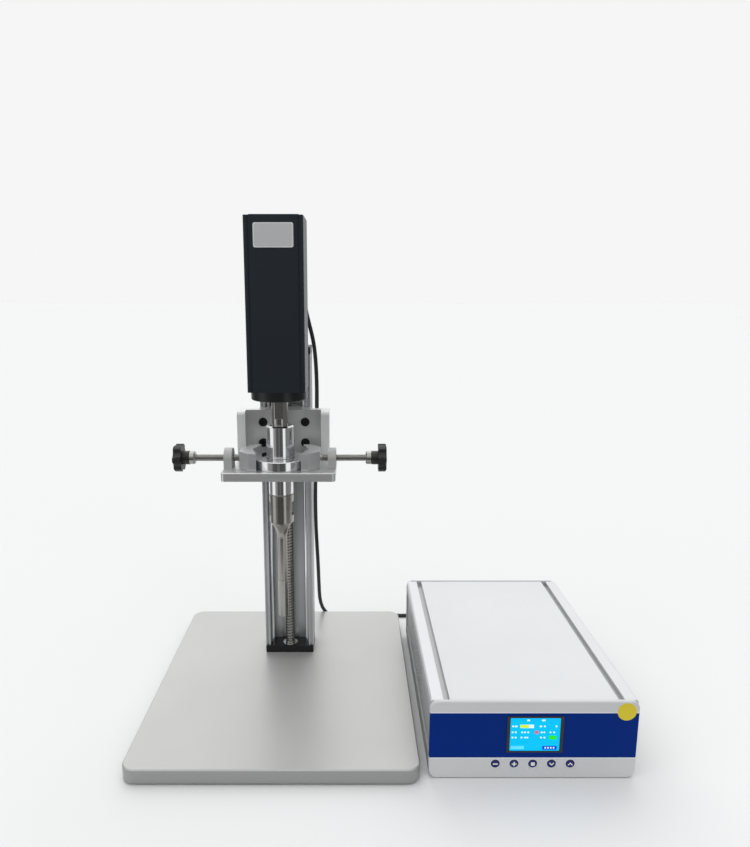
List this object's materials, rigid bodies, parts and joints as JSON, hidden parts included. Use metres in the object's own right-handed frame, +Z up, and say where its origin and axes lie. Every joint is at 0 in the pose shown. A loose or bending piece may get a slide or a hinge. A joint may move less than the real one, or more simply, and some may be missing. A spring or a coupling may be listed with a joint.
{
  "type": "probe sonicator",
  "caption": "Bench probe sonicator: converter and horn clamped to a screw-driven column on a base plate, with its cabled generator box.",
  "frame": {"origin": "on the bench, under the middle of the stand's base plate", "axes": "+X right as seen from the generator's display, +Y to the back, +Z up"},
  "size_m": [0.5162, 0.4692, 0.5606],
  "materials": {
    "bare_aluminium": "satin",
    "profile_aluminium": "matt anodised",
    "polished_steel": "polished",
    "turned_metal": "turned",
    "dark_steel": "black oxide",
    "bronze": "plain",
    "housing_anodised": "dark anodised",
    "black_anodised": "satin black",
    "knob_black": "fine grain",
    "panel_paint": "satin paint",
    "cover_paint": "fine satin paint",
    "side_paint": "dark paint",
    "sheet_steel": "zinc plated",
    "screen": "glossy",
    "button_blue": "glossy",
    "black_plastic": "moulded",
    "rubber_black": "matt",
    "cable_jacket": "satin",
    "ceramic": "fired ceramic",
    "copper": "plain",
    "board_green": "solder mask"
  },
  "bodies": {
    "root": {"base_plate": "bare_aluminium", "column_bolts": "dark_steel", "rubber_feet": "rubber_black", "column_profile": "profile_aluminium", "end_blocks": "black_anodised", "screw_bearings": "polished_steel", "guide_rods": "polished_steel", "generator_tray": "side_paint", "side_rails": "panel_paint", "top_cover": "cover_paint", "side_panels": "side_paint", "front_panel": "panel_paint", "display_module": "screen", "rear_panel": "panel_paint", "fan_frame": "black_plastic", "fan_guard": "sheet_steel", "power_inlet": "black_plastic", "output_socket": "sheet_steel", "cable_plug": "dark_steel", "power_board": "board_green", "cable_floor": "cable_jacket", "cable_tail": "cable_jacket", "cable_coil": "cable_jacket"},
    "carriage": {"carriage_block": "bare_aluminium", "screw_nut": "bronze", "carriage_bushes": "bronze", "bracket_back_plate": "bare_aluminium", "bracket_screws": "dark_steel", "bracket_gussets": "bare_aluminium", "bracket_shelf": "bare_aluminium", "stud_ears": "bare_aluminium", "converter_housing": "housing_anodised", "converter_top_cap": "housing_anodised", "converter_collar": "black_anodised", "front_mass": "turned_metal", "piezo_rings": "ceramic", "electrodes": "copper", "back_mass": "turned_metal", "stack_bolt": "dark_steel", "booster": "polished_steel", "coupling_studs": "dark_steel", "horn": "turned_metal", "probe_tip": "turned_metal", "cable_gland": "black_plastic", "cable_drop": "cable_jacket"},
    "lead_screw": {"lead_screw": "turned_metal", "screw_knob": "knob_black"},
    "left_jaw": {"left_jaw": "bare_aluminium"},
    "left_clamp_screw": {"left_clamp_stud": "turned_metal", "left_knob": "knob_black"},
    "right_jaw": {"right_jaw": "bare_aluminium"},
    "right_clamp_screw": {"right_clamp_stud": "turned_metal", "right_knob": "knob_black"},
    "power_rocker": {"power_rocker": "black_plastic"},
    "fan_rotor": {"fan_rotor": "black_plastic"},
    "button_1": {"button_1": "button_blue"},
    "button_2": {"button_2": "button_blue"},
    "button_3": {"button_3": "button_blue"},
    "button_4": {"button_4": "button_blue"},
    "button_5": {"button_5": "button_blue"}
  },
  "joints": [
    {"name": "carriage_lift", "type": "slide", "parent": "root", "child": "carriage", "axis": [0, 0, 1], "range_m": [-0.08, 0.06], "deforming": ["cable_drop"]},
    {"name": "lead_screw_turn", "type": "hinge", "parent": "root", "child": "lead_screw", "pos_m": [0, 0.068, 0.2], "axis": [0, 0, 1], "continuous": true},
    {"name": "left_jaw_slide", "type": "slide", "parent": "carriage", "child": "left_jaw", "axis": [-1, 0, 0], "range_m": [0, 0.008]},
    {"name": "left_knob_turn", "type": "hinge", "parent": "left_jaw", "child": "left_clamp_screw", "pos_m": [-0.08, -0.011, 0.296], "axis": [-1, 0, 0], "continuous": true},
    {"name": "right_jaw_slide", "type": "slide", "parent": "carriage", "child": "right_jaw", "axis": [1, 0, 0], "range_m": [0, 0.008]},
    {"name": "right_knob_turn", "type": "hinge", "parent": "right_jaw", "child": "right_clamp_screw", "pos_m": [0.08, -0.011, 0.296], "axis": [1, 0, 0], "continuous": true},
    {"name": "button_1_press", "type": "slide", "parent": "root", "child": "button_1", "axis": [0, 1, 0], "range_m": [0, 0.0008], "stiffness_N_per_m": 500},
    {"name": "button_2_press", "type": "slide", "parent": "root", "child": "button_2", "axis": [0, 1, 0], "range_m": [0, 0.0008], "stiffness_N_per_m": 500},
    {"name": "button_3_press", "type": "slide", "parent": "root", "child": "button_3", "axis": [0, 1, 0], "range_m": [0, 0.0008], "stiffness_N_per_m": 500},
    {"name": "button_4_press", "type": "slide", "parent": "root", "child": "button_4", "axis": [0, 1, 0], "range_m": [0, 0.0008], "stiffness_N_per_m": 500},
    {"name": "button_5_press", "type": "slide", "parent": "root", "child": "button_5", "axis": [0, 1, 0], "range_m": [0, 0.0008], "stiffness_N_per_m": 500},
    {"name": "power_rocker_tip", "type": "hinge", "parent": "root", "child": "power_rocker", "pos_m": [0.335, 0.1277, 0.0585], "axis": [1, 0, 0], "range_deg": [-12, 0]},
    {"name": "fan_spin", "type": "hinge", "parent": "root", "child": "fan_rotor", "pos_m": [0.214, 0.1127, 0.044], "axis": [0, 1, 0], "continuous": true}
  ],
  "couplings": [
    {"joint": "lead_screw_turn", "follows": "carriage_lift", "rad_per_m": -1570.8},
    {"joint": "left_knob_turn", "follows": "left_jaw_slide", "rad_per_m": 5026.5},
    {"joint": "right_knob_turn", "follows": "right_jaw_slide", "rad_per_m": 5026.5}
  ]
}
